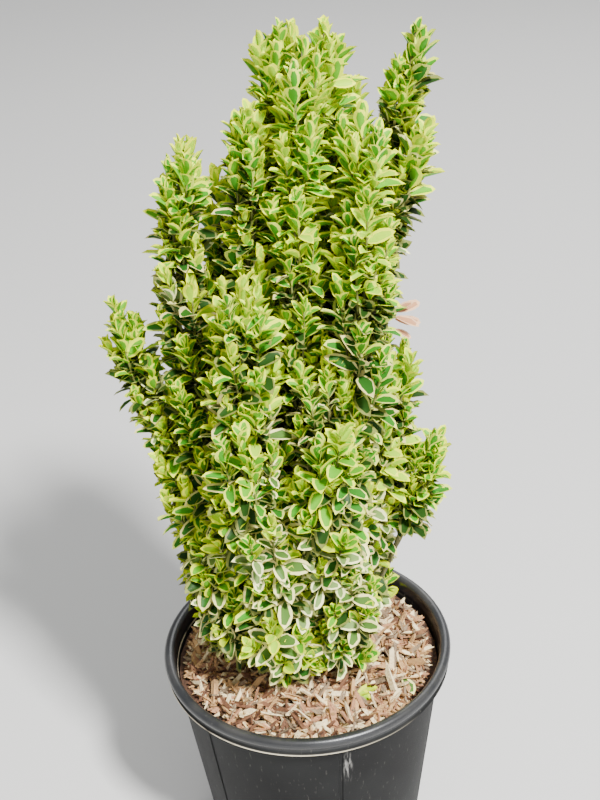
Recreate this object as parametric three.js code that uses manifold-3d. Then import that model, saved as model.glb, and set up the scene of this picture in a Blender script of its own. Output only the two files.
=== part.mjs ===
// A variegated Japanese spindle in a round nursery pot: the pot, its bark mulch, a short
// root crown, one limb for each upright mass of foliage, and the masses themselves.
// Millimetres, +Z up, origin at the centre of the pot's flat underside, the front towards -Y.
import * as THREE from "three";
import { mergeVertices } from "three/addons/utils/BufferGeometryUtils.js";
import Module from "manifold-3d";

const wasm = await Module();
wasm.setup();

// Pot
const POT_HEIGHT = 245;
const POT_FOOT_RADIUS = 112;
const POT_WALL_TOP_RADIUS = 139.5;
const POT_RIM_RADIUS = 150;
const POT_WALL = 2.4;
const POT_FLOOR = 4;
const RIM_BEAD = 11;
const RIM_SKIRT_DROP = 19;
const POT_SEGMENTS = 40;
const GROOVE_COUNT = 6;
const GROOVE_FIRST_ANGLE = -78.6;
const GROOVE_WIDTH = 4;
const GROOVE_DEPTH = 1.1;

// Mulch
const MULCH_LEVEL = 222;
const MULCH_BUMP = 2.4;
const MULCH_SEGMENTS = 30;
const CLEARANCE = 0.3;

// Root crown
const CROWN_HEIGHT = 40;
const CROWN_TOP_RADIUS = 23;
const CROWN_FLARE_RADIUS = 36;
const CROWN_LOBES = 5;
const CROWN_LOBE_SHARE = 0.12;

// Limbs
const LIMB_SIDES = 5;
const LIMB_TIP_RADIUS = 2.4;
const LIMB_GAP = 1.6;
const STEM_CLEAR = 5;

// Foliage
const LEAF_LENGTH = 50;
const LEAF_WIDTH = 26;
const LEAF_THICKNESS = 3;
const LEAF_SIZES = [1, 0.84, 0.68];
const LEAF_SPLAY = 0.8;
const LEAF_SINK = 6;
const LEAVES_PER_MASS = 10;
const LEAF_SPACING = 19;
const TWIG_TRIALS = 160;
const TWIG_REACHES = [0.44, 0.32, 0.2];
const TWIG_RADIUS = 1.7;
const CELL_MARGIN = 2.2;
const CORE_SHARES = [0.74, 0.62, 0.5, 0.4, 0.3];
const CORE_VALLEY = 0.5;
const CORE_TIP_RISE = 9;
const CORE_SIDES = 8;
const CORE_RING_STEP = 31;
const CORE_LIFTS = [0, 40, 80, 120, 160];
const GOLDEN_SHARE = 0.618034;
const DEGREE = THREE.MathUtils.DEG2RAD;

// Foliage nearest the mulch: seven masses that lean out over it. The middles of a ring's feet and of its
// tips are shifted along X, and their depth along Y is a share of their width.
const SKIRT = {
  name: "skirt_foliage", count: 7, firstAngle: -90, girth: 46,
  footRadius: 40, footHeight: 252, tipRadius: 76, tipHeight: 436, tipSpread: 22,
  limbRing: 12, limbHeight: 240, limbRadius: 3.4, lift: [-0.7, 0.7], sector: 230,
  footShift: -14, tipShift: -18, footDepth: 0.76, tipDepth: 0.84,
};
// The widest part of the shrub: seven masses that stand between those below.
const BELT = {
  name: "belt_foliage", count: 7, firstAngle: -64, girth: 53,
  footRadius: 58, footHeight: 374, tipRadius: 86, tipHeight: 624, tipSpread: 30,
  limbRing: 18, limbHeight: 256, limbRadius: 3.3, lift: [-0.2, 1], sector: 230,
  footShift: -6, tipShift: 2, footDepth: 0.95, tipDepth: 0.92,
};
// The shoots that rise above the rest, each with its own place and height. Its limb starts on a ring
// of the radius given, at the angle given.
const TOWERS = [
  { name: "right_outer", foot: [62, -14, 640], tip: [126, -10, 808], girth: 23, limb: [11.5, -13] },
  { name: "right", foot: [50, 12, 528], tip: [121, 8, 888], girth: 31, limb: [11.5, 22] },
  { name: "back_right", foot: [42, 56, 528], tip: [53, 60, 846], girth: 42, limb: [11.5, 62] },
  { name: "back_left", foot: [-42, 52, 523], tip: [-42, 56, 750], girth: 44, limb: [11.5, 115] },
  { name: "left", foot: [-70, -6, 525], tip: [-80, -6, 806], girth: 38, limb: [11.5, 172] },
  { name: "left_shoulder", foot: [-26, -14, 600], tip: [-20, -12, 834], girth: 31, limb: [5, 215] },
  { name: "centre_left", foot: [-15, 12, 522], tip: [9, 12, 893], girth: 38, limb: [5, 135] },
  { name: "front_left", foot: [-39, -54, 523], tip: [-34, -60, 700], girth: 44, limb: [11.5, 232] },
  { name: "centre_front", foot: [6, -36, 531], tip: [27, -14, 887], girth: 37, limb: [11.5, 276] },
  { name: "front_right", foot: [46, -52, 519], tip: [72, -44, 834], girth: 40, limb: [11.5, 313] },
  { name: "centre_right", foot: [28, 6, 520], tip: [46, 8, 892], girth: 36, limb: [5, 20] },
];
const TOWER_LIMB = { height: 258, radius: 2.9 };
const TOWER_LIFT = [0.3, 1.6];
// Two shoots that break out of the outline on the left and on the right.
const OUTLIERS = [
  { name: "left_shoot", foot: [-111, 2, 457], tip: [-152, 0, 655], girth: 36, limbAngle: 182 },
  { name: "right_shoot", foot: [104, -30, 424], tip: [128, -32, 512], girth: 32, limbAngle: -15 },
];
const OUTLIER_LIMB = { ring: 12, height: 242, radius: 3.1 };
// How far out and how high a limb's bend lies between its start and its foot of foliage.
const STEEP_BEND = { out: 0.42, up: 0.66 };
const WIDE_BEND = { out: 0.72, up: 0.34 };

const POT_MATERIAL = new THREE.MeshStandardMaterial({ color: 0x2b2c2e, roughness: 0.55 });
const MULCH_MATERIAL = new THREE.MeshStandardMaterial({ color: 0x9a7458, roughness: 0.95 });
const BARK_MATERIAL = new THREE.MeshStandardMaterial({ color: 0x6d6148, roughness: 0.9 });
const LEAF_MATERIAL = new THREE.MeshStandardMaterial({ color: 0x8fae4a, roughness: 0.6 });

// A repeatable source of numbers from 0 to 1.
function seededRandom(seed) {
  let state = seed >>> 0;
  return () => {
    state = (state + 0x6d2b79f5) >>> 0;
    let mixed = Math.imul(state ^ (state >>> 15), state | 1);
    mixed ^= mixed + Math.imul(mixed ^ (mixed >>> 7), mixed | 61);
    return ((mixed ^ (mixed >>> 14)) >>> 0) / 4294967296;
  };
}

// A closed three.js geometry as a solid that can be joined and cut.
function toSolid(geometry) {
  const bare = geometry.index ? geometry.toNonIndexed() : geometry.clone();
  bare.deleteAttribute("normal");
  bare.deleteAttribute("uv");
  const merged = mergeVertices(bare, 1e-3);
  return new wasm.Manifold(
    new wasm.Mesh({
      numProp: 3,
      vertProperties: new Float32Array(merged.attributes.position.array),
      triVerts: new Uint32Array(merged.index.array),
    }),
  );
}

// The largest body of a solid: loose scraps and sealed hollows are left out.
function mainBody(solid) {
  const bodies = solid.decompose();
  return bodies.reduce((best, body) => (body.volume() > best.volume() ? body : best));
}

function toGeometry(solid) {
  const mesh = solid.getMesh();
  const geometry = new THREE.BufferGeometry();
  geometry.setAttribute("position", new THREE.BufferAttribute(mesh.vertProperties, 3));
  geometry.setIndex(new THREE.BufferAttribute(mesh.triVerts, 1));
  geometry.computeVertexNormals();
  return geometry;
}

// A ring of radii turned about the Z axis.
function turned(profile, segments) {
  const points = profile.map(([radius, height]) => new THREE.Vector2(radius, height));
  return new THREE.LatheGeometry(points, segments).rotateX(Math.PI / 2);
}

function wallRadius(height) {
  const share = height / (POT_HEIGHT - RIM_SKIRT_DROP);
  return THREE.MathUtils.lerp(POT_FOOT_RADIUS, POT_WALL_TOP_RADIUS, share);
}

function buildPot() {
  const skirtFoot = POT_HEIGHT - RIM_SKIRT_DROP;
  const lip = POT_RIM_RADIUS - RIM_BEAD;
  const body = toSolid(turned([
    [0, 0],
    [POT_FOOT_RADIUS - 2, 0],
    [POT_FOOT_RADIUS, 2.5],
    [POT_WALL_TOP_RADIUS, skirtFoot],
    [POT_RIM_RADIUS - 2.6, skirtFoot],
    [POT_RIM_RADIUS - 1.6, skirtFoot + 2],
    [POT_RIM_RADIUS - 2.8, skirtFoot + 9],
    [POT_RIM_RADIUS, skirtFoot + 13],
    [POT_RIM_RADIUS - 1, POT_HEIGHT - 2.2],
    [POT_RIM_RADIUS - 4, POT_HEIGHT],
    [lip + 3.4, POT_HEIGHT],
    [lip + 0.6, POT_HEIGHT - 2.6],
    [lip, POT_HEIGHT - 7],
    [wallRadius(skirtFoot) - POT_WALL, skirtFoot],
    [wallRadius(POT_FLOOR) - POT_WALL, POT_FLOOR],
    [0, POT_FLOOR],
  ], POT_SEGMENTS));
  return cutGrooves(body);
}

// Shallow upright grooves run down the outside of the wall.
function cutGrooves(body) {
  const taper = Math.atan2(POT_WALL_TOP_RADIUS - POT_FOOT_RADIUS, POT_HEIGHT - RIM_SKIRT_DROP);
  const middle = (POT_HEIGHT - RIM_SKIRT_DROP) / 2;
  const length = POT_HEIGHT - RIM_SKIRT_DROP - 16;
  let cut = body;
  for (let i = 0; i < GROOVE_COUNT; i += 1) {
    const groove = new THREE.BoxGeometry(GROOVE_DEPTH * 2, GROOVE_WIDTH, length);
    groove.rotateY(taper);
    groove.translate(wallRadius(middle), 0, middle);
    groove.rotateZ((GROOVE_FIRST_ANGLE + (360 / GROOVE_COUNT) * i) * DEGREE);
    cut = cut.subtract(toSolid(groove));
  }
  return cut;
}

// Bark mulch fills the pot to a little under its rim, flat round the root crown.
function buildMulch() {
  const random = seededRandom(11);
  const wall = wallRadius(MULCH_LEVEL) - POT_WALL - 2 * CLEARANCE;
  const foot = wallRadius(POT_FLOOR) - POT_WALL - 2 * CLEARANCE;
  const flat = CROWN_FLARE_RADIUS + 4;
  const geometry = turned([
    [0, POT_FLOOR + CLEARANCE],
    [foot, POT_FLOOR + CLEARANCE],
    [wall, MULCH_LEVEL - 1],
    [wall - 12, MULCH_LEVEL],
    [wall - 36, MULCH_LEVEL],
    [wall - 62, MULCH_LEVEL],
    [flat, MULCH_LEVEL],
    [0, MULCH_LEVEL],
  ], MULCH_SEGMENTS);
  const merged = mergeVertices(geometry.toNonIndexed().deleteAttribute("normal").deleteAttribute("uv"));
  const position = merged.attributes.position;
  for (let i = 0; i < position.count; i += 1) {
    const radius = Math.hypot(position.getX(i), position.getY(i));
    const loose = position.getZ(i) > MULCH_LEVEL - 0.5 && radius > flat + 1;
    if (loose) position.setZ(i, MULCH_LEVEL + (random() * 2 - 1) * MULCH_BUMP);
  }
  return toSolid(merged);
}

// The root crown: lobed at the flat cut on the mulch, narrowing to where the limbs leave it.
function buildCrown(growth) {
  const foot = MULCH_LEVEL + CLEARANCE - growth;
  const top = MULCH_LEVEL + CROWN_HEIGHT + growth;
  const geometry = turned([
    [0, foot],
    [CROWN_FLARE_RADIUS - 4 + growth, foot],
    [CROWN_FLARE_RADIUS - 9 + growth, foot + 7],
    [CROWN_TOP_RADIUS + 1.5 + growth, foot + 18],
    [CROWN_TOP_RADIUS + growth, top - 7],
    [CROWN_TOP_RADIUS - 3 + growth, top],
    [0, top],
  ], 20);
  const position = geometry.attributes.position;
  for (let i = 0; i < position.count; i += 1) {
    const angle = Math.atan2(position.getY(i), position.getX(i));
    const low = 1 - THREE.MathUtils.smoothstep(position.getZ(i), foot, top);
    const swell = 1 + CROWN_LOBE_SHARE * low * Math.cos(CROWN_LOBES * angle);
    position.setX(i, position.getX(i) * swell);
    position.setY(i, position.getY(i) * swell);
  }
  return toSolid(geometry);
}

// A round tapering bar bent along a curve, with flat ends square to it.
function bentTaper(curve, footRadius, tipRadius, sides, steps, sideways) {
  const bar = new THREE.CylinderGeometry(tipRadius, footRadius, 1, sides, steps);
  const position = bar.attributes.position;
  for (let i = 0; i < position.count; i += 1) {
    const share = THREE.MathUtils.clamp(position.getY(i) + 0.5, 0, 1);
    const along = curve.getTangent(share);
    const first = sideways.clone().addScaledVector(along, -sideways.dot(along)).normalize();
    const second = first.clone().cross(along);
    const point = curve.getPoint(share)
      .addScaledVector(first, position.getX(i))
      .addScaledVector(second, position.getZ(i));
    position.setXYZ(i, point.x, point.y, point.z);
  }
  return bar;
}

function ringPoint(radius, degrees, height) {
  const angle = degrees * DEGREE;
  return new THREE.Vector3(radius * Math.cos(angle), radius * Math.sin(angle), height);
}

// The masses of one ring, evenly spaced, with their tips at uneven heights.
function ringOfMasses(ring, seed) {
  const random = seededRandom(seed);
  return Array.from({ length: ring.count }, (_, i) => {
    const angle = ring.firstAngle + (360 / ring.count) * i;
    const tipHeight = ring.tipHeight + (random() * 2 - 1) * ring.tipSpread;
    const tipAngle = angle + (random() * 2 - 1) * 6;
    return {
      name: `${ring.name}_${i + 1}`,
      limbName: `${ring.name.replace("foliage", "bough")}_${i + 1}`,
      girth: ring.girth,
      start: ringPoint(ring.limbRing, angle, ring.limbHeight),
      foot: ringPoint(ring.footRadius, angle, ring.footHeight)
        .multiply(new THREE.Vector3(1, ring.footDepth, 1)).add(new THREE.Vector3(ring.footShift, 0, 0)),
      tip: ringPoint(ring.tipRadius, tipAngle, tipHeight)
        .multiply(new THREE.Vector3(1, ring.tipDepth, 1)).add(new THREE.Vector3(ring.tipShift, 0, 0)),
      limbRadius: ring.limbRadius,
      lift: ring.lift,
      sector: ring.sector,
    };
  });
}

function towerMasses() {
  return TOWERS.map((tower) => ({
    name: `${tower.name}_tower`,
    limbName: `${tower.name}_tower_bough`,
    girth: tower.girth,
    start: ringPoint(...tower.limb, TOWER_LIMB.height),
    foot: new THREE.Vector3(...tower.foot),
    tip: new THREE.Vector3(...tower.tip),
    limbRadius: TOWER_LIMB.radius,
    lift: TOWER_LIFT,
    sector: 360,
  }));
}

function outlierMasses() {
  return OUTLIERS.map((shoot) => ({
    name: `${shoot.name}_foliage`,
    limbName: `${shoot.name}_bough`,
    girth: shoot.girth,
    start: ringPoint(OUTLIER_LIMB.ring, shoot.limbAngle, OUTLIER_LIMB.height),
    foot: new THREE.Vector3(...shoot.foot),
    tip: new THREE.Vector3(...shoot.tip),
    limbRadius: OUTLIER_LIMB.radius,
    bend: WIDE_BEND,
    lift: TOWER_LIFT,
    sector: 360,
  }));
}

// Each limb climbs from the crown and bends to its mass, whose stem grows on from it.
function addCurves(mass) {
  const shape = mass.bend ?? STEEP_BEND;
  const bend = mass.start.clone().lerp(mass.foot, shape.out);
  bend.z = THREE.MathUtils.lerp(mass.start.z, mass.foot.z, shape.up);
  mass.limb = new THREE.QuadraticBezierCurve3(mass.start, bend, mass.foot);
  mass.heading = mass.limb.getTangent(1);
  const stemFoot = mass.foot.clone().addScaledVector(mass.heading, CLEARANCE);
  const reach = mass.tip.distanceTo(mass.foot);
  const turn = stemFoot.clone().addScaledVector(mass.heading, reach * 0.34);
  const stemTip = mass.tip.clone();
  stemTip.z -= LEAF_LENGTH * 0.7;
  mass.stem = new THREE.QuadraticBezierCurve3(stemFoot, turn, stemTip);
  const outward = new THREE.Vector3(mass.foot.x, mass.foot.y, 0).normalize();
  mass.sideways = new THREE.Vector3(-outward.y, outward.x, 0);
  mass.centreLine = [...mass.stem.getPoints(20), mass.tip];
  mass.limbLine = mass.limb.getPoints(24);
  mass.low = mass.foot.z < BELT.footHeight - 20 ? MULCH_LEVEL + MULCH_BUMP + 1 : mass.foot.z - 16;
}

// The middle of a mass at a height, and how wide the mass's own space is there.
function centreAt(mass, height) {
  const line = mass.centreLine;
  if (height <= line[0].z) return line[0];
  const above = line.findIndex((point) => point.z >= height);
  if (above < 0) return line[line.length - 1];
  const [lower, upper] = [line[above - 1], line[above]];
  return lower.clone().lerp(upper, (height - lower.z) / Math.max(upper.z - lower.z, 1e-6));
}

function girthAt(mass, height) {
  const share = THREE.MathUtils.clamp((height - mass.foot.z) / (mass.tip.z - mass.foot.z), 0, 1);
  return mass.girth * (0.46 + 0.54 * Math.sin(Math.PI * (0.26 + 0.58 * share)));
}

// How far out a point lies in a mass's space: 0 on its centre line and 1 at its edge.
function shareOut(mass, point) {
  if (point.z < mass.low || point.z > mass.tip.z + 0.01) return Infinity;
  const centre = centreAt(mass, point.z);
  return Math.hypot(point.x - centre.x, point.y - centre.y) / girthAt(mass, point.z);
}

function distanceToLine(point, line) {
  const segment = new THREE.Line3();
  const nearest = new THREE.Vector3();
  let best = Infinity;
  for (let i = 1; i < line.length; i += 1) {
    segment.set(line[i - 1], line[i]).closestPointToPoint(point, true, nearest);
    best = Math.min(best, nearest.distanceTo(point));
  }
  return best;
}

// Whether a point may hold foliage of this mass: in its own space, and clear of every limb and the pot.
function belongs(mass, masses, point) {
  const own = shareOut(mass, point);
  if (own > 1) return false;
  const outFromMiddle = Math.hypot(point.x, point.y);
  if (point.z < POT_HEIGHT + 6 && outFromMiddle > POT_WALL_TOP_RADIUS - 14) return false;
  if (point.z < MULCH_LEVEL + CROWN_HEIGHT + 3 && outFromMiddle < CROWN_FLARE_RADIUS + 6) return false;
  for (const other of masses) {
    if (other !== mass) {
      const theirs = shareOut(other, point);
      const margin = CELL_MARGIN / Math.min(mass.girth, other.girth);
      if (theirs < own + margin) return false;
    }
    if (other !== mass && distanceToLine(point, other.centreLine) < STEM_CLEAR) return false;
    if (distanceToLine(point, other.limbLine) < other.limbRadius + LIMB_GAP) return false;
  }
  return true;
}

// A pointed leaf of eight faces that grows from its root, with its broad face turned upwards.
function leafGeometry(root, direction, roll, size) {
  const face = new THREE.Vector3(0, 0, 1).addScaledVector(direction, -direction.z).normalize();
  const across = direction.clone().cross(face);
  const leaf = new THREE.OctahedronGeometry(0.5);
  leaf.scale(LEAF_WIDTH * size, LEAF_THICKNESS, LEAF_LENGTH * size);
  leaf.translate(0, 0, LEAF_LENGTH * size * 0.5);
  leaf.rotateZ(roll);
  const frame = new THREE.Matrix4().makeBasis(across, face.negate(), direction);
  frame.setPosition(root);
  return leaf.applyMatrix4(frame);
}

// The corners of a geometry and the middles of its edges, for the space test.
function testPoints(geometry) {
  const position = (geometry.index ? geometry.toNonIndexed() : geometry).attributes.position;
  const corners = Array.from({ length: position.count }, (_, i) =>
    new THREE.Vector3().fromBufferAttribute(position, i));
  const middles = corners.map((corner, i) => {
    const next = i % 3 === 2 ? corners[i - 2] : corners[i + 1];
    return corner.clone().lerp(next, 0.5);
  });
  return [...corners, ...middles];
}

// The core: leafy points in rings round the stem, each ring turned against the one below, and
// drawn in wherever the mass's space is narrow.
function buildCore(mass, masses, fullness, lift) {
  const foot = Math.max(mass.foot.z + 5, mass.low + 4) + lift;
  const top = mass.stem.getPoint(1).z;
  const rings = Math.max(2, Math.round((top - foot) / CORE_RING_STEP));
  const core = new THREE.CylinderGeometry(1, 1, 1, CORE_SIDES, rings).rotateY(Math.PI / 2);
  const position = core.attributes.position;
  const reach = new THREE.Vector3();
  for (let i = 0; i < position.count; i += 1) {
    const share = THREE.MathUtils.clamp(position.getY(i) + 0.5, 0, 1);
    const onAxis = Math.hypot(position.getX(i), position.getZ(i)) < 0.01;
    const angle = Math.atan2(-position.getZ(i), position.getX(i));
    const side = Math.round((angle / Math.PI) * CORE_SIDES * 0.5);
    const isEnd = share < 0.01 || share > 0.99;
    const isTip = !isEnd && (side + Math.round(share * rings)) % 2 === 0;
    const height = THREE.MathUtils.lerp(foot, top, share) + (isTip ? CORE_TIP_RISE : 0);
    const centre = centreAt(mass, height);
    const width = girthAt(mass, height) * fullness * (isTip ? 1 : CORE_VALLEY) * (isEnd ? 0.5 : 1);
    let radius = onAxis ? 0 : width;
    const place = () => reach.set(
      centre.x + radius * Math.cos(angle), centre.y + radius * Math.sin(angle), height);
    while (radius > 5 && !belongs(mass, masses, place())) radius *= 0.85;
    place();
    position.setXYZ(i, reach.x, reach.y, reach.z);
  }
  return toSolid(core);
}

// The fullest core that touches nothing that is already built, begun further up if need be, or none.
function clearCore(mass, masses, isClear) {
  for (const fullness of CORE_SHARES) {
    for (const lift of CORE_LIFTS.filter((size) => size < (mass.tip.z - mass.foot.z) * 0.6)) {
      const core = buildCore(mass, masses, fullness, lift);
      if (isClear(core)) return [core];
    }
  }
  return [];
}

// A mass: one stem, twigs turned round it by the golden share, leaves in opposite pairs, and the core.
function buildMass(mass, masses, finished, seed) {
  const random = seededRandom(seed);
  const isClear = (solid) => finished.every((other) => other.intersect(solid).isEmpty()) &&
    masses.every((other) => other === mass || other.stemSolid.intersect(solid).isEmpty());
  const fits = (geometry) =>
    testPoints(geometry).every((point) => belongs(mass, masses, point)) && isClear(toSolid(geometry));
  const pieces = [mass.stemSolid, ...clearCore(mass, masses, isClear)];
  const middles = [];
  const leafAt = (root, direction, roll, size) => {
    const middle = root.clone().addScaledVector(direction, LEAF_LENGTH * 0.5);
    const leaf = leafGeometry(root, direction, roll, size);
    const isApart = middles.every((other) => other.distanceTo(middle) >= LEAF_SPACING);
    return isApart && fits(leaf) ? [{ leaf, middle }] : [];
  };
  const tip = mass.stem.getPoint(1);
  const tipHeading = mass.stem.getTangent(1);
  const topLength = (mass.tip.z - tip.z + LEAF_SINK) / LEAF_LENGTH / Math.max(tipHeading.z, 0.5);
  pieces.push(toSolid(leafGeometry(
    tip.clone().addScaledVector(tipHeading, -LEAF_SINK), tipHeading, seed, topLength * 0.98)));
  const facing = Math.atan2(mass.foot.y, mass.foot.x);
  let turn = random();
  for (let trial = 0; trial < TWIG_TRIALS && middles.length < LEAVES_PER_MASS; trial += 1) {
    turn = (turn + GOLDEN_SHARE) % 1;
    const share = ((trial + 0.5) * GOLDEN_SHARE * GOLDEN_SHARE) % 1;
    const angle = facing + (turn - 0.5) * mass.sector * DEGREE;
    const height = THREE.MathUtils.lerp(mass.low + 8, mass.tip.z - 26, share);
    const outward = new THREE.Vector3(Math.cos(angle), Math.sin(angle), 0);
    const aside = new THREE.Vector3(-outward.y, outward.x, 0);
    const lift = THREE.MathUtils.lerp(mass.lift[0], mass.lift[1], share) + random() * 0.3;
    const heading = outward.clone().setZ(lift).normalize();
    const across = trial % 2 ? aside : aside.clone().cross(heading).negate();
    const roll = (random() - 0.5) * 0.9;
    const tries = LEAF_SIZES.flatMap((size) => TWIG_REACHES.map((reach) => ({ size, reach })));
    for (const { size, reach } of tries) {
      const length = girthAt(mass, height) * reach;
      const twigTip = centreAt(mass, height).clone().addScaledVector(outward, length);
      twigTip.z = height;
      const pair = [1, -1].flatMap((side) => {
        const splayed = heading.clone().addScaledVector(across, side * LEAF_SPLAY).normalize();
        const root = twigTip.clone().addScaledVector(heading, side - LEAF_SINK * 0.5);
        return leafAt(root, splayed, roll, size);
      });
      const twigFoot = centreAt(mass, Math.min(height - lift * length, tip.z - 3)).clone();
      const twig = bentTaper(
        new THREE.LineCurve3(twigFoot, twigTip), TWIG_RADIUS, TWIG_RADIUS * 0.7, 3, 1, aside);
      if (pair.length > 0 && fits(twig)) {
        pieces.push(toSolid(twig), ...pair.map(({ leaf }) => toSolid(leaf)));
        middles.push(...pair.map(({ middle }) => middle));
        break;
      }
    }
  }
  return mainBody(mainBody(wasm.Manifold.union(pieces)).simplify(0.3));
}

function addMesh(group, name, solid, material) {
  const mesh = new THREE.Mesh(toGeometry(solid), material);
  mesh.name = name;
  group.add(mesh);
}

const plant = new THREE.Group();
addMesh(plant, "pot", buildPot(), POT_MATERIAL);
addMesh(plant, "bark_mulch", buildMulch(), MULCH_MATERIAL);
addMesh(plant, "root_crown", buildCrown(0), BARK_MATERIAL);

const masses = [
  ...ringOfMasses(SKIRT, 21), ...ringOfMasses(BELT, 22), ...towerMasses(), ...outlierMasses(),
];
masses.forEach(addCurves);
masses.forEach((mass) => {
  mass.stemSolid = toSolid(bentTaper(mass.stem, LIMB_TIP_RADIUS, 1.6, 4, 5, mass.sideways));
});
const crownSpace = buildCrown(CLEARANCE);
const finished = masses.map((mass) => {
  const limb = toSolid(
    bentTaper(mass.limb, mass.limbRadius, LIMB_TIP_RADIUS, LIMB_SIDES, 4, mass.sideways));
  const bough = mainBody(limb.subtract(crownSpace));
  addMesh(plant, mass.limbName, bough, BARK_MATERIAL);
  return bough;
});
masses.forEach((mass, i) => {
  const solid = buildMass(mass, masses, finished, 100 + i);
  addMesh(plant, mass.name, solid, LEAF_MATERIAL);
  finished.push(solid);
});

export default plant;
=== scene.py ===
"""A variegated Japanese spindle in a nursery pot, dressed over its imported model.

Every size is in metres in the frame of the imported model: +Z up, the origin at the centre of the
pot's flat underside, and the front towards -Y.
"""
import sys
import logging
import math
from dataclasses import dataclass, field
from enum import Enum
from functools import cached_property
from typing import NamedTuple

import bpy
import numpy as np
from mathutils import Euler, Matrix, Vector


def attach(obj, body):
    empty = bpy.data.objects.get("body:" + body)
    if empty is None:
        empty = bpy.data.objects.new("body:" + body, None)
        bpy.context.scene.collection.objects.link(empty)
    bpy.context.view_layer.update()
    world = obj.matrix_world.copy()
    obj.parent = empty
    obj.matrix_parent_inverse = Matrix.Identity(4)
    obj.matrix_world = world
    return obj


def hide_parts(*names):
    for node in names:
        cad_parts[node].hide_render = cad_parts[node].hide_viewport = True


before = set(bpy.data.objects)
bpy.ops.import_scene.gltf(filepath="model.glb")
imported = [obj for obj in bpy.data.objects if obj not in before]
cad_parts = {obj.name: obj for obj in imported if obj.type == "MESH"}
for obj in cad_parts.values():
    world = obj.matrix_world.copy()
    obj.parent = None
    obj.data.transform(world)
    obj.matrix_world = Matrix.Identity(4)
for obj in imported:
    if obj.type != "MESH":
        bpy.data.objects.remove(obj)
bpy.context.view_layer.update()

LOG = logging.getLogger("spindle")
MM = 0.001
Array = np.ndarray
Faces = list[tuple[Array, Array]]
Colour = tuple[float, float, float, float]
Place = tuple[float, float, float]
Span = tuple[float, float]
Rng = np.random.Generator
Material = bpy.types.Material
Node = bpy.types.Node
Socket = bpy.types.NodeSocket


def srgb(red: int, green: int, blue: int) -> Colour:
    """Turn a screen colour of 0 to 255 into a linear one.

    Args:
        red: Red from 0 to 255.
        green: Green from 0 to 255.
        blue: Blue from 0 to 255.

    Returns:
        The linear colour with full alpha.
    """
    parts = [value / 255 for value in (red, green, blue)]
    linear = [p / 12.92 if p <= 0.04045 else ((p + 0.055) / 1.055) ** 2.4 for p in parts]
    return (linear[0], linear[1], linear[2], 1.0)


def unit(vectors: Array) -> Array:
    """Scale vectors to length one along the last axis."""
    return vectors / np.maximum(np.linalg.norm(vectors, axis=-1, keepdims=True), 1e-9)


def ring_point(radius: float, degrees: float, height: float) -> Array:
    """Give the point at a radius, an angle about Z and a height."""
    angle = math.radians(degrees)
    return np.array([radius * math.cos(angle), radius * math.sin(angle), height])


def limited(value: float) -> float:
    """Keep a value between 0 and 1."""
    return min(max(value, 0.0), 1.0)


def between(ends: Span, share: float | Array) -> float | Array:
    """Give what lies some share of the way between two values."""
    return ends[0] + (ends[1] - ends[0]) * share


def row_at(value: float, marks: Array, rows: Array) -> Array:
    """Give the point that belongs to a value, between rows of points with their marks."""
    return np.array([np.interp(value, marks, rows[:, axis]) for axis in range(3)])


def full_turn(sides: int) -> Array:
    """Give even directions all round."""
    return np.arange(sides) * (2 * math.pi / sides)


def bezier(start: Array, bend: Array, end: Array, count: int) -> Array:
    """Sample a quadratic curve.

    Args:
        start: First point.
        bend: Control point.
        end: Last point.
        count: Number of samples.

    Returns:
        The samples, one row each.
    """
    share = np.linspace(0, 1, count)[:, None]
    return (1 - share) ** 2 * start + 2 * share * (1 - share) * bend + share**2 * end


class SeededRandom:
    """The repeatable numbers from 0 to 1 that the solids were grown from."""

    MASK = 0xFFFFFFFF

    def __init__(self, seed: int) -> None:
        """Start the sequence at a seed."""
        self.state = seed & self.MASK

    def next(self) -> float:
        """Give the next number."""
        mask = self.MASK
        self.state = (self.state + 0x6D2B79F5) & mask
        mixed = ((self.state ^ (self.state >> 15)) * (self.state | 1)) & mask
        mixed ^= (mixed + ((mixed ^ (mixed >> 7)) * (mixed | 61))) & mask
        return ((mixed ^ (mixed >> 14)) & mask) / 4294967296


def linked(name: str, data: bpy.types.ID) -> bpy.types.Object:
    """Make an object of some data and link it to the scene."""
    made = bpy.data.objects.new(name, data)
    bpy.context.scene.collection.objects.link(made)
    return made


class MeshBatch:
    """Gathers points and faces with their finish numbers and makes one object of them."""

    def __init__(self) -> None:
        """Start empty."""
        self.points: list[Array] = []
        self.faces: Faces = []
        self.count = 0

    def add(self, points: Array, faces: Faces) -> None:
        """Add points and the faces between them.

        Args:
            points: One row per point.
            faces: Pairs of corner numbers, one row per face, and finish numbers.
        """
        for corners, slots in faces:
            self.faces.append((corners + self.count, slots))
        self.points.append(points)
        self.count += len(points)

    def build(self, name: str, finishes: list[Material]) -> bpy.types.Object:
        """Make the object.

        Args:
            name: The piece's name.
            finishes: The materials that the finish numbers stand for.

        Returns:
            The object, linked to the scene.
        """
        mesh = bpy.data.meshes.new(name)
        faces = [face for corners, _ in self.faces for face in corners.tolist()]
        mesh.from_pydata(np.concatenate(self.points), [], faces, shade_flat=False)
        for finish in finishes:
            mesh.materials.append(finish)
        slots = np.concatenate([slots for _, slots in self.faces])
        mesh.polygons.foreach_set("material_index", slots.astype(np.int32))
        mesh.validate()
        return linked(name, mesh)


def around(radius: Array, turn: Array, height: Array) -> Array:
    """Give the points at radii, turns about Z and heights."""
    sides = (radius * np.cos(turn), radius * np.sin(turn), height)
    return np.stack(np.broadcast_arrays(*sides), axis=-1)


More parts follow.
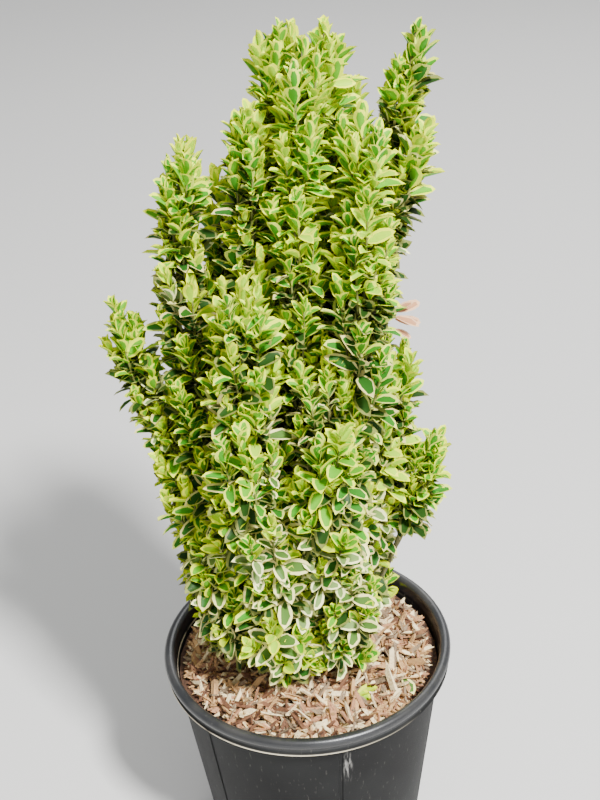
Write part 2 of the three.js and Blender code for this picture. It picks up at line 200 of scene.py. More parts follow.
def closed_rings(rings: Array, ends: Array) -> tuple[Array, Faces]:
    """Join rings of points into a closed skin.

    Args:
        rings: The rings in order, each with as many points.
        ends: The middles of the first and the last cap.

    Returns:
        The points and the faces, all with finish 0.
    """
    sides = rings.shape[1]
    grid = np.arange(len(rings) * sides).reshape(-1, sides)
    after = np.roll(grid, -1, axis=1)
    quads = np.stack([grid[:-1], after[:-1], after[1:], grid[1:]], axis=-1).reshape(-1, 4)
    caps = np.concatenate([
        np.stack([np.full(sides, grid.size), after[0], grid[0]], axis=-1),
        np.stack([np.full(sides, grid.size + 1), grid[-1], after[-1]], axis=-1),
    ])
    points = np.concatenate([rings.reshape(-1, 3), ends])
    return points, [(quads, np.zeros(len(quads))), (caps, np.zeros(len(caps)))]


def settle(piece: bpy.types.Object, nodes: list[str]) -> None:
    """Fix a piece to the model and the solids it stands for.

    Args:
        piece: The finished piece.
        nodes: The solids that the piece replaces.
    """
    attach(piece, "root")
    if nodes:
        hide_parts(*nodes)
    triangles = sum(len(p.vertices) - 2 for p in piece.data.polygons)
    LOG.info("%s: %d triangles, replaces %d solids", piece.name, triangles, len(nodes))


# Shader effects that several finishes share


@dataclass
class NodeBench:
    """Places and links nodes in one node tree.

    Attributes:
        tree: The node tree worked on.
    """

    tree: bpy.types.NodeTree

    def node(self, kind: str, feeds: dict[str | int, object], **values: object) -> Node:
        """Place a node.

        Args:
            kind: Blender's name for the node, after ShaderNode.
            feeds: What its inputs get.
            **values: Its properties.

        Returns:
            The new node.
        """
        made = self.tree.nodes.new(f"ShaderNode{kind}")
        for name, value in values.items():
            setattr(made, name, value)
        for name, value in feeds.items():
            self.feed(value, made.inputs[name])
        return made

    def feed(self, value: object, target: Socket) -> None:
        """Give an input its value, or link it to the output that holds it.

        Args:
            value: The value or the output.
            target: The input.
        """
        if isinstance(value, Socket):
            self.tree.links.new(value, target)
        else:
            target.default_value = value

    @cached_property
    def place(self) -> Socket:
        """The place on the object."""
        return self.node("TexCoord", {}).outputs["Object"]

    def split(self, vector: Socket) -> list[Socket]:
        """Part a vector into X, Y and Z."""
        return list(self.node("SeparateXYZ", {0: vector}).outputs)

    def noise(self, place: Socket, scale: Socket | float, detail: float) -> Socket:
        """Place noise of some scale per metre and octaves of detail."""
        feeds = {"Vector": place, "Scale": scale, "Detail": detail}
        return self.node("TexNoise", feeds).outputs["Fac"]

    def ramp(self, value: Socket, low: Socket | float, high: Socket | float) -> Socket:
        """Stretch the values between two limits to 0 and 1."""
        feeds = {"Value": value, "From Min": low, "From Max": high}
        return self.node("MapRange", feeds, interpolation_type="SMOOTHSTEP").outputs["Result"]

    def between(self, share: Socket, start: float, end: float) -> Socket:
        """Go from one value to another as the share goes from 0 to 1."""
        feeds = {"Value": share, "To Min": start, "To Max": end}
        return self.node("MapRange", feeds).outputs["Result"]

    def product(self, *values: Socket | float) -> Socket:
        """Multiply values in order.

        Args:
            *values: Outputs or numbers.

        Returns:
            Their product.
        """
        result = values[0]
        for value in values[1:]:
            result = self.node("Math", {0: result, 1: value}, operation="MULTIPLY").outputs[0]
        return result

    def vector(self, operation: str, first: Socket, second: Socket | Place) -> Socket:
        """Work out a vector from two others."""
        made = self.node("VectorMath", {0: first, 1: second}, operation=operation)
        return made.outputs["Vector"]

    def bump(self, height: Socket, distance: float, strength: float) -> Socket:
        """Turn a height mask into a normal, with a depth in metres."""
        feeds = {"Distance": distance, "Strength": strength, "Height": height}
        return self.node("Bump", feeds).outputs["Normal"]

    def blend(self, mask: Socket, under: Socket | Colour, over: Socket | Colour) -> Socket:
        """Mix two colours by a mask.

        Args:
            mask: 0 for the first colour and 1 for the second.
            under: The first colour.
            over: The second colour.

        Returns:
            The mixed colour.
        """
        made = self.node("Mix", {"Factor": mask}, data_type="RGBA")
        colours = [socket for socket in made.inputs if socket.type == "RGBA"]
        for socket, value in zip(colours, (under, over)):
            self.feed(value, socket)
        return next(socket for socket in made.outputs if socket.type == "RGBA")

    def dress(self, **looks: object) -> None:
        """Give the material's Principled BSDF its inputs.

        Args:
            **looks: What each input gets, with underscores for the spaces in its name.
        """
        shader = next(node for node in self.tree.nodes if node.type == "BSDF_PRINCIPLED")
        for name, value in looks.items():
            self.feed(value, shader.inputs[name.replace("_", " ")])


class Effect(Enum):
    """The shader node groups that finishes share, with their inputs' usual values."""

    MOTTLE = ("uneven_tone", {"Scale": 60.0, "Low": 0.3, "High": 0.7})
    RELIEF = ("fine_relief", {"Scale": 200.0, "Stretch": 1.0})


class EffectShop:
    """Builds each shared node group once and places it in materials."""

    def __init__(self) -> None:
        """Start with no group built."""
        self.built: dict[Effect, bpy.types.NodeTree] = {}

    def mask(self, bench: NodeBench, effect: Effect, **values: float) -> Socket:
        """Place a shared effect with its own values.

        Args:
            bench: Where it is placed.
            effect: Which effect.
            **values: The group's input values by name.

        Returns:
            The effect's mask.
        """
        if effect not in self.built:
            self.built[effect] = self._build(effect)
        return bench.node("Group", values, node_tree=self.built[effect]).outputs["Mask"]

    def _build(self, effect: Effect) -> bpy.types.NodeTree:
        """Build the node group of one effect.

        Args:
            effect: Which effect.

        Returns:
            The node group.
        """
        title, inputs = effect.value
        tree = bpy.data.node_groups.new(title, "ShaderNodeTree")
        for name, value in inputs.items():
            socket = tree.interface.new_socket(name, in_out="INPUT", socket_type="NodeSocketFloat")
            socket.default_value = value
        tree.interface.new_socket("Mask", in_out="OUTPUT", socket_type="NodeSocketFloat")
        bench = NodeBench(tree)
        entry = tree.nodes.new("NodeGroupInput")
        leave = tree.nodes.new("NodeGroupOutput")
        maker = {Effect.MOTTLE: self._mottle, Effect.RELIEF: self._relief}[effect]
        bench.feed(maker(bench, entry), leave.inputs["Mask"])
        return tree

    def _mottle(self, bench: NodeBench, entry: Node) -> Socket:
        """Build soft patches between two limits."""
        patches = bench.noise(bench.place, entry.outputs["Scale"], 5.0)
        return bench.ramp(patches, entry.outputs["Low"], entry.outputs["High"])

    def _relief(self, bench: NodeBench, entry: Node) -> Socket:
        """Build fine ups and downs, drawn out along Z by the stretch.

        Args:
            bench: The group's nodes.
            entry: The group's inputs.

        Returns:
            The height mask.
        """
        stretch = {0: 1.0, 1: entry.outputs["Stretch"]}
        shrink = bench.node("Math", stretch, operation="DIVIDE").outputs[0]
        scale = bench.node("CombineXYZ", {"X": 1.0, "Y": 1.0, "Z": shrink}).outputs["Vector"]
        drawn = bench.vector("MULTIPLY", bench.place, scale)
        return bench.noise(drawn, entry.outputs["Scale"], 8.0)


EFFECTS = EffectShop()


def new_material(name: str) -> tuple[Material, NodeBench]:
    """Make a material.

    Args:
        name: The material's name.

    Returns:
        The material and a bench on its nodes.
    """
    material = bpy.data.materials.new(name)
    material.use_nodes = True
    return material, NodeBench(material.node_tree)


@dataclass(frozen=True)
class MouldedPlastic:
    """Black moulded plastic with an uneven dusting that is partly a painted sheen on what faces up,
    a rim whose lighter tone is a painted sheen, scuffs, a smear and a pale line along its band's
    lower edge that is partly wear and partly a painted highlight.

    Pairs of roughness and gloss are the wall's and the rim's.
    """

    black: Colour = srgb(15, 15, 16)
    faded: Colour = srgb(27, 28, 28)
    # The rim's lighter tone is a painted sheen.
    rim: Colour = srgb(34, 35, 37)
    # The dusting is partly a painted sheen where the surface faces up, most of all on the rim.
    dust_and_sheen: Colour = srgb(120, 116, 108)
    scuff: Colour = srgb(214, 208, 196)
    smear_tone: Colour = srgb(150, 148, 144)
    # The pale line along the band's lower edge is partly wear and partly a painted highlight.
    edge_wear_and_highlight: Colour = srgb(236, 224, 196)
    rim_heights: Span = (0.229, 0.233)
    roughness: Span = (0.6, 0.33)
    gloss: Span = (0.16, 0.6)
    grain_depth: float = 0.0003
    dust_and_sheen_amount: float = 0.16
    scuff_amount: float = 0.07
    scuff_draw: Place = (1.0, 1.0, 0.16)
    smear: Place = (0.0335, -0.131, 0.19)
    smear_reach: Place = (0.006, 0.02, 0.032)
    edge_line_low: Span = (0.2252, 0.2256)
    edge_line_high: Span = (0.2282, 0.227)
    edge_line_across: Span = (0.125, -0.03)

    def build(self) -> Material:
        """Make the material."""
        material, bench = new_material("pot_plastic")
        rim = bench.ramp(bench.split(bench.place)[2], *self.rim_heights)
        tone = EFFECTS.mask(bench, Effect.MOTTLE, Scale=9.0, Low=0.35, High=0.7)
        colour = bench.blend(tone, self.black, self.faded)
        for mask, tint in (
            # The rim's lighter tone is a painted sheen.
            (rim, self.rim),
            # The dusting is partly a painted sheen on what faces up.
            (self._dust_and_sheen(bench), self.dust_and_sheen),
            (self._scuffs(bench), self.scuff),
            (self._smear(bench), self.smear_tone),
            # The pale edge line is partly wear and partly a painted highlight.
            (self._edge_wear_and_highlight(bench), self.edge_wear_and_highlight),
        ):
            colour = bench.blend(mask, colour, tint)
        grain = EFFECTS.mask(bench, Effect.RELIEF, Scale=900.0, Stretch=1.0)
        bench.dress(
            Base_Color=colour,
            Roughness=bench.between(rim, *self.roughness),
            Specular_IOR_Level=bench.between(rim, *self.gloss),
            Normal=bench.bump(grain, self.grain_depth, 0.35),
        )
        return material

    def _dust_and_sheen(self, bench: NodeBench) -> Socket:
        """Build an uneven dusting, partly a painted sheen, that lies thickest on what faces up.

        Args:
            bench: The material's nodes.

        Returns:
            The mask.
        """
        normal = bench.node("NewGeometry", {}).outputs["Normal"]
        lying = bench.ramp(bench.split(normal)[2], 0.1, 0.95)
        patches = bench.ramp(bench.noise(bench.place, 30.0, 6.0), 0.35, 0.75)
        return bench.product(lying, patches, self.dust_and_sheen_amount)

    def _scuffs(self, bench: NodeBench) -> Socket:
        """Build thin broken streaks that run down the side.

        Args:
            bench: The material's nodes.

        Returns:
            The mask.
        """
        drawn = bench.vector("MULTIPLY", bench.place, self.scuff_draw)
        streaks = bench.ramp(bench.noise(drawn, 420.0, 3.0), 0.61, 0.73)
        broken = bench.ramp(bench.noise(bench.place, 150.0, 4.0), 0.42, 0.62)
        return bench.product(streaks, broken, self.scuff_amount)

    def _smear(self, bench: NodeBench) -> Socket:
        """Build the pale smear beside the front groove.

        Args:
            bench: The material's nodes.

        Returns:
            The mask.
        """
        away = bench.vector("SUBTRACT", bench.place, self.smear)
        scaled = bench.vector("DIVIDE", away, self.smear_reach)
        length = bench.node("VectorMath", {0: scaled}, operation="LENGTH").outputs["Value"]
        streaks = EFFECTS.mask(bench, Effect.RELIEF, Scale=330.0, Stretch=7.0)
        return bench.product(bench.ramp(length, 1.0, 0.4), bench.ramp(streaks, 0.4, 0.66))

    def _edge_wear_and_highlight(self, bench: NodeBench) -> Socket:
        """Build the ragged pale line along the band's lower edge, partly wear and partly a painted
        highlight.

        Args:
            bench: The material's nodes.

        Returns:
            The mask.
        """
        across, _, height = bench.split(bench.place)
        over, under = bench.ramp(height, *self.edge_line_low), bench.ramp(height, *self.edge_line_high)
        ragged = bench.ramp(bench.noise(bench.place, 28.0, 5.0), 0.34, 0.5)
        return bench.product(over, under, ragged, bench.ramp(across, *self.edge_line_across))


@dataclass(frozen=True)
class DriedWood:
    """Dry bark or wood, with darker grain.

    Attributes:
        name: The material's name.
        pale: The colour of the ridges.
        dark: The colour of the grain.
        scale: Grain scale per metre.
        stretch: How far the grain is drawn out along Z.
        depth: Depth of the relief in metres.
        roughness: How dull it is.
    """

    name: str
    pale: Colour
    dark: Colour
    scale: float = 420.0
    stretch: float = 1.0
    depth: float = 0.0006
    roughness: float = 0.86

    def build(self) -> Material:
        """Make the material."""
        material, bench = new_material(self.name)
        grain = EFFECTS.mask(bench, Effect.RELIEF, Scale=self.scale, Stretch=self.stretch)
        tone = EFFECTS.mask(bench, Effect.MOTTLE, Scale=70.0, Low=0.3, High=0.7)
        base = bench.blend(bench.ramp(grain, 0.36, 0.6), self.dark, self.pale)
        bench.dress(
            Base_Color=bench.blend(tone, base, self.pale),
            Roughness=self.roughness,
            Normal=bench.bump(grain, self.depth, 0.7),
        )
        return material


@dataclass(frozen=True)
class LeafTint:
    """One plain colour of a leaf's heart or margin, with the leaf's satin gloss."""

    name: str
    colour: Colour
    roughness: float = 0.46
    gloss: float = 0.12

    def build(self) -> Material:
        """Make the material."""
        material, bench = new_material(self.name)
        bench.dress(
            Base_Color=self.colour, Roughness=self.roughness, Specular_IOR_Level=self.gloss)
        return material


class Palette(Enum):
    """The pairs of heart and margin colours that sprays are given."""

    YOUNG_LIME = (srgb(172, 214, 18), srgb(232, 241, 22))
    YOUNG_GREEN = (srgb(98, 168, 24), srgb(226, 238, 36))
    FRESH = (srgb(66, 144, 30), srgb(220, 233, 72))
    MID = (srgb(50, 118, 32), srgb(214, 223, 98))
    DEEP = (srgb(40, 90, 28), srgb(214, 204, 124))
    # The old palettes' grey-green hearts and pale margins are partly the old leaves' own colour and
    # partly a painted sheen of sky reflection.
    OLD_GREY = (srgb(82, 118, 50), srgb(250, 242, 158))
    OLD_PALE = (srgb(122, 150, 82), srgb(255, 252, 180))
    YELLOW = (srgb(176, 200, 0), srgb(206, 216, 0))
    DRY = (srgb(184, 134, 98), srgb(222, 180, 142))
    SHADE = (srgb(34, 64, 20), srgb(124, 130, 62))

    @property
    def number(self) -> int:
        """The palette's place in the list."""
        return list(Palette).index(self)


def leaf_finishes() -> list[Material]:
    """Make the heart and the margin colour of every palette, in order.

    Returns:
        The materials.
    """
    return [
        LeafTint(f"leaf_{palette.name.lower()}_{part}", colour).build()
        for palette in Palette
        for part, colour in zip(("heart", "margin"), palette.value)
    ]


# Pot and mulch


@dataclass
class NurseryPot:
    """The turned pot with its rolled rim, band and upright grooves."""

    height: float = 0.245
    foot_radius: float = 0.112
    wall_top_radius: float = 0.1395
    rim_radius: float = 0.150
    wall: float = 0.0024
    floor: float = 0.004
    bead: float = 0.011
    skirt_drop: float = 0.019
    groove_count: int = 6
    groove_first: float = -78.6
    groove_width: float = 0.004
    groove_depth: float = 0.0011
    segments: int = 180
    wall_rows: int = 14
    sharp_from: float = 32.0

    @property
    def skirt_foot(self) -> float:
        """Height of the band's lower edge."""
        return self.height - self.skirt_drop

    def wall_radius(self, height: float) -> float:
        """Give the wall's outer radius at a height."""
        share = height / self.skirt_foot
        return self.foot_radius + (self.wall_top_radius - self.foot_radius) * share

    def profile(self) -> Array:
        """Give the section from the middle of the underside round to the middle of the floor.

        Returns:
            A row of radius and height for each point.
        """
        foot = self.skirt_foot
        rim = self.rim_radius
        lip = rim - self.bead
        heights = np.linspace(0.0025, foot - 0.0004, self.wall_rows)
        outer = [(self.wall_radius(z), z) for z in heights]
        roll = self.bead / 2
        middle = (rim - roll, self.height - roll)
        bead = [
            (middle[0] + roll * math.cos(a), middle[1] + roll * math.sin(a))
            for a in np.radians(np.arange(-48, 186, 13))
        ]
        section = [
            (0.0, 0.0),
            (self.foot_radius - 0.003, 0.0),
            (self.foot_radius - 0.001, 0.0006),
            *outer,
            (self.wall_top_radius + 0.001, foot),
            (rim - 0.0024, foot - 0.0001),
            (rim - 0.0017, foot + 0.0006),
            (rim - 0.0018, foot + 0.0016),
            (rim - 0.0030, foot + 0.0030),
            (rim - 0.0036, foot + 0.0062),
            (rim - 0.0032, foot + 0.0086),
            *bead,
            (lip + 0.0002, self.height - 0.009),
            (self.wall_radius(foot) - self.wall, foot),
            (self.wall_radius(0.12) - self.wall, 0.12),
            (self.wall_radius(self.floor) - self.wall, self.floor),
            (0.0, self.floor),
        ]
        return np.array(section)

    def angles(self) -> Array:
        """Give the directions of the section's copies, with close ones at the grooves' edges.

        Returns:
            The directions in degrees.
        """
        even = np.arange(self.segments) * (360 / self.segments)
        half = math.degrees(self.groove_width / 2 / self.wall_top_radius)
        edges = [
            self.groove_first + 360 / self.groove_count * i + side * half * reach
            for i in range(self.groove_count)
            for side in (-1, 1)
            for reach in (0.86, 1.14)
        ]
        return np.unique(np.round(np.concatenate([even, np.mod(edges, 360)]), 4))

    def groove_share(self, degrees: Array, height: Array) -> Array:
        """Tell where the grooves are.

        Args:
            degrees: Directions about Z.
            height: Heights of the section's rows.

        Returns:
            1 inside a groove and 0 outside, a row per height.
        """
        step = 360 / self.groove_count
        off = np.abs(np.mod(degrees - self.groove_first + step / 2, step) - step / 2)
        half = math.degrees(self.groove_width / 2 / self.wall_top_radius)
        inside = (off < half).astype(float)
        rows = ((height > 0.008) & (height < self.skirt_foot - 0.007)).astype(float)
        return rows[:, None] * inside[None, :]

    def build(self) -> None:
        """Make the pot's mesh and dress it."""
        section, degrees = self.profile(), self.angles()
        outside = np.arange(len(section)) < 3 + self.wall_rows
        cut = self.groove_share(degrees, section[:, 1]) * outside[:, None]
        radius = section[:, :1] - cut * self.groove_depth
        rings = around(radius, np.radians(degrees), section[:, 1:])
        batch = MeshBatch()
        batch.add(*closed_rings(rings[1:-1], np.array([[0, 0, 0], [0, 0, self.floor]])))
        piece = batch.build("pot_shell", [MouldedPlastic().build()])
        piece.data.set_sharp_from_angle(angle=math.radians(self.sharp_from))
        settle(piece, ["pot"])


class Shred(Enum):
    """The kinds of shred in the mulch: pale, dark colour, and share of the whole."""

    TAN = (srgb(202, 160, 108), srgb(126, 88, 54), 0.3)
    PINK = (srgb(186, 138, 100), srgb(118, 76, 52), 0.16)
    CREAM = (srgb(248, 228, 180), srgb(196, 162, 112), 0.24)
    BROWN = (srgb(112, 74, 48), srgb(58, 36, 24), 0.16)
    GREY = (srgb(150, 128, 100), srgb(84, 66, 50), 0.14)


@dataclass
class MulchTop:
    """The fill's surface and the bark shreds that lie on it."""

    level: float = 0.222
    reach: float = 0.1315
    hollow: float = 0.028
    count: int = 2900
    length: Span = (0.01, 0.03)
    slimness: Span = (0.11, 0.28)
    thickness: Span = (0.0009, 0.002)
    tilt_spread: float = 0.42
    roll_spread: float = 0.55
    outline: tuple[float, ...] = (0, 52, 128, 180, 232, 308)
    unevenness: Span = (0.72, 1.08)
    curl: float = 0.16
    sweep: float = 0.13
    grain_scale: float = 520.0
    seed: int = 5

    def build(self) -> None:
        """Make the shreds and dress the fill."""
        fill = DriedWood("mulch_fill", srgb(86, 58, 40), srgb(34, 22, 16), 260.0, 1.0, 0.003)
        bed = bpy.data.objects["bark_mulch"]
        bed.data.materials.clear()
        bed.data.materials.append(fill.build())
        self._shreds()

    def _shreds(self) -> None:
        """Scatter the shreds over the fill."""
        rng = np.random.default_rng(self.seed)
        count = self.count
        radius = np.sqrt(rng.uniform(self.hollow**2, self.reach**2, count))
        turn = rng.uniform(0, 2 * math.pi, count)
        length = rng.uniform(*self.length, count) * rng.choice([1, 1, 1.25], count)
        width = length * rng.uniform(*self.slimness, count)
        thick = rng.uniform(*self.thickness, count)
        yaw = rng.uniform(0, 2 * math.pi, count)
        tilt = np.abs(rng.normal(0, self.tilt_spread, count))
        roll = rng.normal(0, self.roll_spread, count)
        radius = np.minimum(radius, self.reach - length * 0.45)
        along = around(np.cos(tilt), yaw, np.sin(tilt))
        flat = np.stack([-np.sin(yaw), np.cos(yaw), np.zeros(count)], axis=-1)
        side = flat * np.cos(roll)[:, None] + np.cross(along, flat) * np.sin(roll)[:, None]
        face = np.cross(along, side)
        lift = length * 0.5 * np.sin(tilt) + width * 0.5 * np.abs(np.sin(roll))
        height = self.level + 0.0012 + lift * 0.72 + rng.uniform(0, 0.004, count)
        ring = np.radians(self.outline)
        corners = len(ring)
        outline = np.stack([np.cos(ring), np.sin(ring)], axis=-1)
        outline = outline * rng.uniform(*self.unevenness, (count, corners, 1))
        rise = rng.uniform(-self.curl, self.curl, (count, 1)) * outline[:, :, 0] ** 2
        sweep = rng.uniform(-self.sweep, self.sweep, (count, 1)) * outline[:, :, 0] ** 2
        flatways = (
            outline[:, :, :1] * (along * length[:, None])[:, None] * 0.5
            + outline[:, :, 1:] * (side * width[:, None])[:, None] * 0.5
            + sweep[:, :, None] * (side * length[:, None])[:, None]
            + rise[:, :, None] * (face * length[:, None])[:, None]
        )
        half = (face * thick[:, None])[:, None] * 0.5
        points = np.concatenate([flatways + half, flatways - half], axis=1)
        points += around(radius, turn, height)[:, None]
        ends = [[0, 1, 2, 3], [0, 3, 4, 5], [9, 8, 7, 6], [11, 10, 9, 6]]
        edges = [
            [i, i + corners, (i + 1) % corners + corners, (i + 1) % corners]
            for i in range(corners)
        ]
        first = np.arange(count)[:, None, None] * 2 * corners
        quads = (first + np.array(ends + edges)).reshape(-1, 4)
        pale, dark, share = zip(*[kind.value for kind in Shred])
        slots = np.repeat(rng.choice(len(share), count, p=share), len(ends) + corners)
        batch = MeshBatch()
        batch.add(points.reshape(-1, 3), [(quads, slots)])
        names = [f"shred_{kind.name.lower()}" for kind in Shred]
        piece = batch.build("bark_shreds", [
            DriedWood(*look, self.grain_scale).build() for look in zip(names, pale, dark)])
        piece.data.shade_flat()
        settle(piece, [])


# Growth


@dataclass(frozen=True)
class RingPlan:
    """The sizes of one ring of masses, as in the solids (millimetres and degrees)."""

    name: str
    count: int
    first_angle: float
    girth: float
    foot_radius: float
    foot_height: float
    tip_radius: float
    tip_height: float
    tip_spread: float
    limb_ring: float
    limb_height: float
    limb_radius: float
    seed: int
    foot_shift: float
    tip_shift: float
    foot_depth: float
    tip_depth: float
    low: float
    tip_turn: float = 6


SKIRT = RingPlan(
    "skirt", 7, -90, 46, 40, 252, 76, 436, 22, 12, 240, 3.4, 21,
    foot_shift=-14, tip_shift=-18, foot_depth=0.76, tip_depth=0.84, low=226)
BELT = RingPlan(
    "belt", 7, -64, 53, 58, 374, 86, 624, 30, 18, 256, 3.3, 22,
    foot_shift=-6, tip_shift=2, foot_depth=0.95, tip_depth=0.92, low=358)
TOWERS: dict[str, tuple[Place, Place, float, Span]] = {
    "right_outer": ((62, -14, 640), (126, -10, 808), 23, (11.5, -13)),
    "right": ((50, 12, 528), (121, 8, 888), 31, (11.5, 22)),
    "back_right": ((42, 56, 528), (53, 60, 846), 42, (11.5, 62)),
    "back_left": ((-42, 52, 523), (-42, 56, 750), 44, (11.5, 115)),
    "left": ((-70, -6, 525), (-80, -6, 806), 38, (11.5, 172)),
    "left_shoulder": ((-26, -14, 600), (-20, -12, 834), 31, (5, 215)),
    "centre_left": ((-15, 12, 522), (9, 12, 893), 38, (5, 135)),
    "front_left": ((-39, -54, 523), (-34, -60, 700), 44, (11.5, 232)),
    "centre_front": ((6, -36, 531), (27, -14, 887), 37, (11.5, 276)),
    "front_right": ((46, -52, 519), (72, -44, 834), 40, (11.5, 313)),
    "centre_right": ((28, 6, 520), (46, 8, 892), 36, (5, 20)),
}
TOWER_LIMB = (258.0, 2.9)
TOWER_BELOW = 16
# Below these heights a tower takes the belt's darker colours and larger share of painted shade; on
# the right towers they reach higher, as painted shade.
TOWER_COLOURS_FROM = 0.68
FLANK_COLOURS_FROM = 0.83
FLANK_TOWERS = ("right_tower", "right_outer_tower")
SUMMIT_TOWERS = ("centre_left", "centre_front", "centre_right", "front_right")
OUTLIERS: dict[str, tuple[Place, Place, float, float, float]] = {
    "left_shoot": ((-111, 2, 457), (-152, 0, 655), 36, 182, 44),
    "right_shoot": ((104, -30, 424), (128, -32, 512), 32, -15, 0),
}
OUTLIER_LIMB = (12.0, 242.0, 3.1)
STEEP_BEND = (0.42, 0.66)
WIDE_BEND = (0.72, 0.34)


@dataclass(frozen=True)
class ZoneLook:
    """The looks of one part of the crown.

    Attributes:
        size: The size of its leaves beside the usual.
        width: The width of its leaves beside their length.
        density: How closely its shoots stand beside the usual.
        shade: The share of its inner leaves that are painted dark as shade.
        shares: The share of its sprays that each palette has, the first palette first.
        leafy: How far down its shoots carry leaves beside the usual.
        hang: How far its low leaves hang beside the usual.
    """

    size: float
    width: float
    density: float
    shade: float
    shares: tuple[float, ...]
    leafy: float = 1.0
    hang: float = 1.0


class Zone(Enum):
    """The parts of the crown."""

    SKIRT = ZoneLook(0.95, 0.53, 1.2, 0.84, (0.08, 0.15, 0.2, 0.16, 0.07, 0.16, 0.17))
    BELT = ZoneLook(0.9, 0.51, 1.2, 0.84, (0.05, 0.15, 0.26, 0.24, 0.13, 0.09, 0.08))
    TOWER = ZoneLook(0.93, 0.48, 1.05, 0.4, (0.07, 0.26, 0.36, 0.21, 0.07, 0.01, 0.02))
    # The summit's yellower palettes and scant painted shade are partly its young growth's own
    # colour and partly painted light on the crown's top.
    SUMMIT = ZoneLook(0.93, 0.48, 1.0, 0.06, (0.46, 0.36, 0.13, 0.02, 0.0, 0.01, 0.02))
    OUTLIER = ZoneLook(
        0.92, 0.49, 0.75, 0.5, (0.1, 0.24, 0.32, 0.24, 0.06, 0.02, 0.02), leafy=0.66, hang=0.3)


@dataclass
class FoliageMass:
    """One mass of foliage in its own space: its limb, its stem and how wide it may be.

    Its sizes are given in millimetres and kept in metres.
    """

    node: str
    limb_node: str
    zone: Zone
    girth: float
    start: Array
    foot: Array
    tip: Array
    limb_radius: float
    low: float
    bend: Span = STEEP_BEND
    limb: Array = field(init=False)
    stem: Array = field(init=False)

    def __post_init__(self) -> None:
        """Turn the sizes into metres, lay the limb's curve and the stem that grows on from it."""
        self.girth, self.limb_radius, self.low = (
            size * MM for size in (self.girth, self.limb_radius, self.low))
        self.start, self.foot, self.tip = (
            np.array(place) * MM for place in (self.start, self.foot, self.tip))
        out, up = self.bend
        bend = self.start + (self.foot - self.start) * out
        bend[2] = self.start[2] + (self.foot[2] - self.start[2]) * up
        self.limb = bezier(self.start, bend, self.foot, 22)
        reach = float(np.linalg.norm(self.tip - self.foot))
        knee = self.foot + unit(self.foot - bend) * reach * 0.34
        self.stem = bezier(self.foot, knee, self.tip - (0, 0, 0.009), 24)

    @property
    def line(self) -> Array:
        """The limb and the stem as one line."""
        return np.concatenate([self.limb, self.stem[1:]])

    def centre_at(self, height: float) -> Array:
        """Give the point of the stem at a height, or its foot below that."""
        return row_at(height, self.stem[:, 2], self.stem)

    def line_at(self, height: float) -> Array:
        """Give the point of limb and stem at a height."""
        return row_at(height, np.maximum.accumulate(self.line[:, 2]), self.line)

    def look_at(self, height: float) -> ZoneLook:
        """Give whose colours it has at a height: below its top a tower is like the belt, with the
        belt's painted shade, reaching higher on the right towers.
        """
        is_tower = self.zone in (Zone.TOWER, Zone.SUMMIT)
        start = FLANK_COLOURS_FROM if self.node in FLANK_TOWERS else TOWER_COLOURS_FROM
        return (Zone.BELT if is_tower and height < start else self.zone).value

    def girth_at(self, height: float) -> float:
        """Give how wide the mass's space is at a height."""
        share = limited((height - self.foot[2]) / (self.tip[2] - self.foot[2]))
        return self.girth * (0.46 + 0.54 * math.sin(math.pi * (0.26 + 0.58 * share)))


def ring_masses(plan: RingPlan, zone: Zone) -> list[FoliageMass]:
    """Place the masses of one ring by the solids' rule.

    Args:
        plan: The ring's sizes.
        zone: The part of the crown it belongs to.

    Returns:
        The ring's masses.
    """
    numbers = SeededRandom(plan.seed)
    made = []
    for i in range(plan.count):
        angle = plan.first_angle + 360 / plan.count * i
        tip_height = plan.tip_height + (numbers.next() * 2 - 1) * plan.tip_spread
        tip_angle = angle + (numbers.next() * 2 - 1) * plan.tip_turn
        foot = ring_point(plan.foot_radius, angle, plan.foot_height)
        tip = ring_point(plan.tip_radius, tip_angle, tip_height)
        made.append(FoliageMass(
            node=f"{plan.name}_foliage_{i + 1}",
            limb_node=f"{plan.name}_bough_{i + 1}",
            zone=zone,
            girth=plan.girth,
            start=ring_point(plan.limb_ring, angle, plan.limb_height),
            foot=foot * (1, plan.foot_depth, 1) + (plan.foot_shift, 0, 0),
            tip=tip * (1, plan.tip_depth, 1) + (plan.tip_shift, 0, 0),
            limb_radius=plan.limb_radius,
            low=plan.low,
        ))
    return made


def all_masses() -> list[FoliageMass]:
    """Place every mass of the crown.

    Returns:
        The masses.
    """
    made = ring_masses(SKIRT, Zone.SKIRT) + ring_masses(BELT, Zone.BELT)
    for name, (foot, tip, girth, (radius, angle)) in TOWERS.items():
        zone = Zone.SUMMIT if name in SUMMIT_TOWERS else Zone.TOWER
        start = ring_point(radius, angle, TOWER_LIMB[0])
        made.append(FoliageMass(
            f"{name}_tower", f"{name}_tower_bough", zone, girth, start, foot, tip,
            limb_radius=TOWER_LIMB[1], low=foot[2] - TOWER_BELOW))
    radius, height, limb_radius = OUTLIER_LIMB
    for name, (foot, tip, girth, angle, below) in OUTLIERS.items():
        start = ring_point(radius, angle, height)
        made.append(FoliageMass(
            f"{name}_foliage", f"{name}_bough", Zone.OUTLIER, girth, start, foot, tip,
            limb_radius, low=foot[2] - below, bend=WIDE_BEND))
    return made


def frames_along(path: Array) -> tuple[Array, Array, Array]:
    """Give the heading and two square directions at each point of a path.

    Args:
        path: The path's points.

    Returns:
        The heading and the two directions across it.
    """
    along = unit(np.gradient(path, axis=0))
    reference = np.array([0.31, 0.95, 0.05])
    first = unit(np.cross(along, reference))
    return along, first, np.cross(along, first)


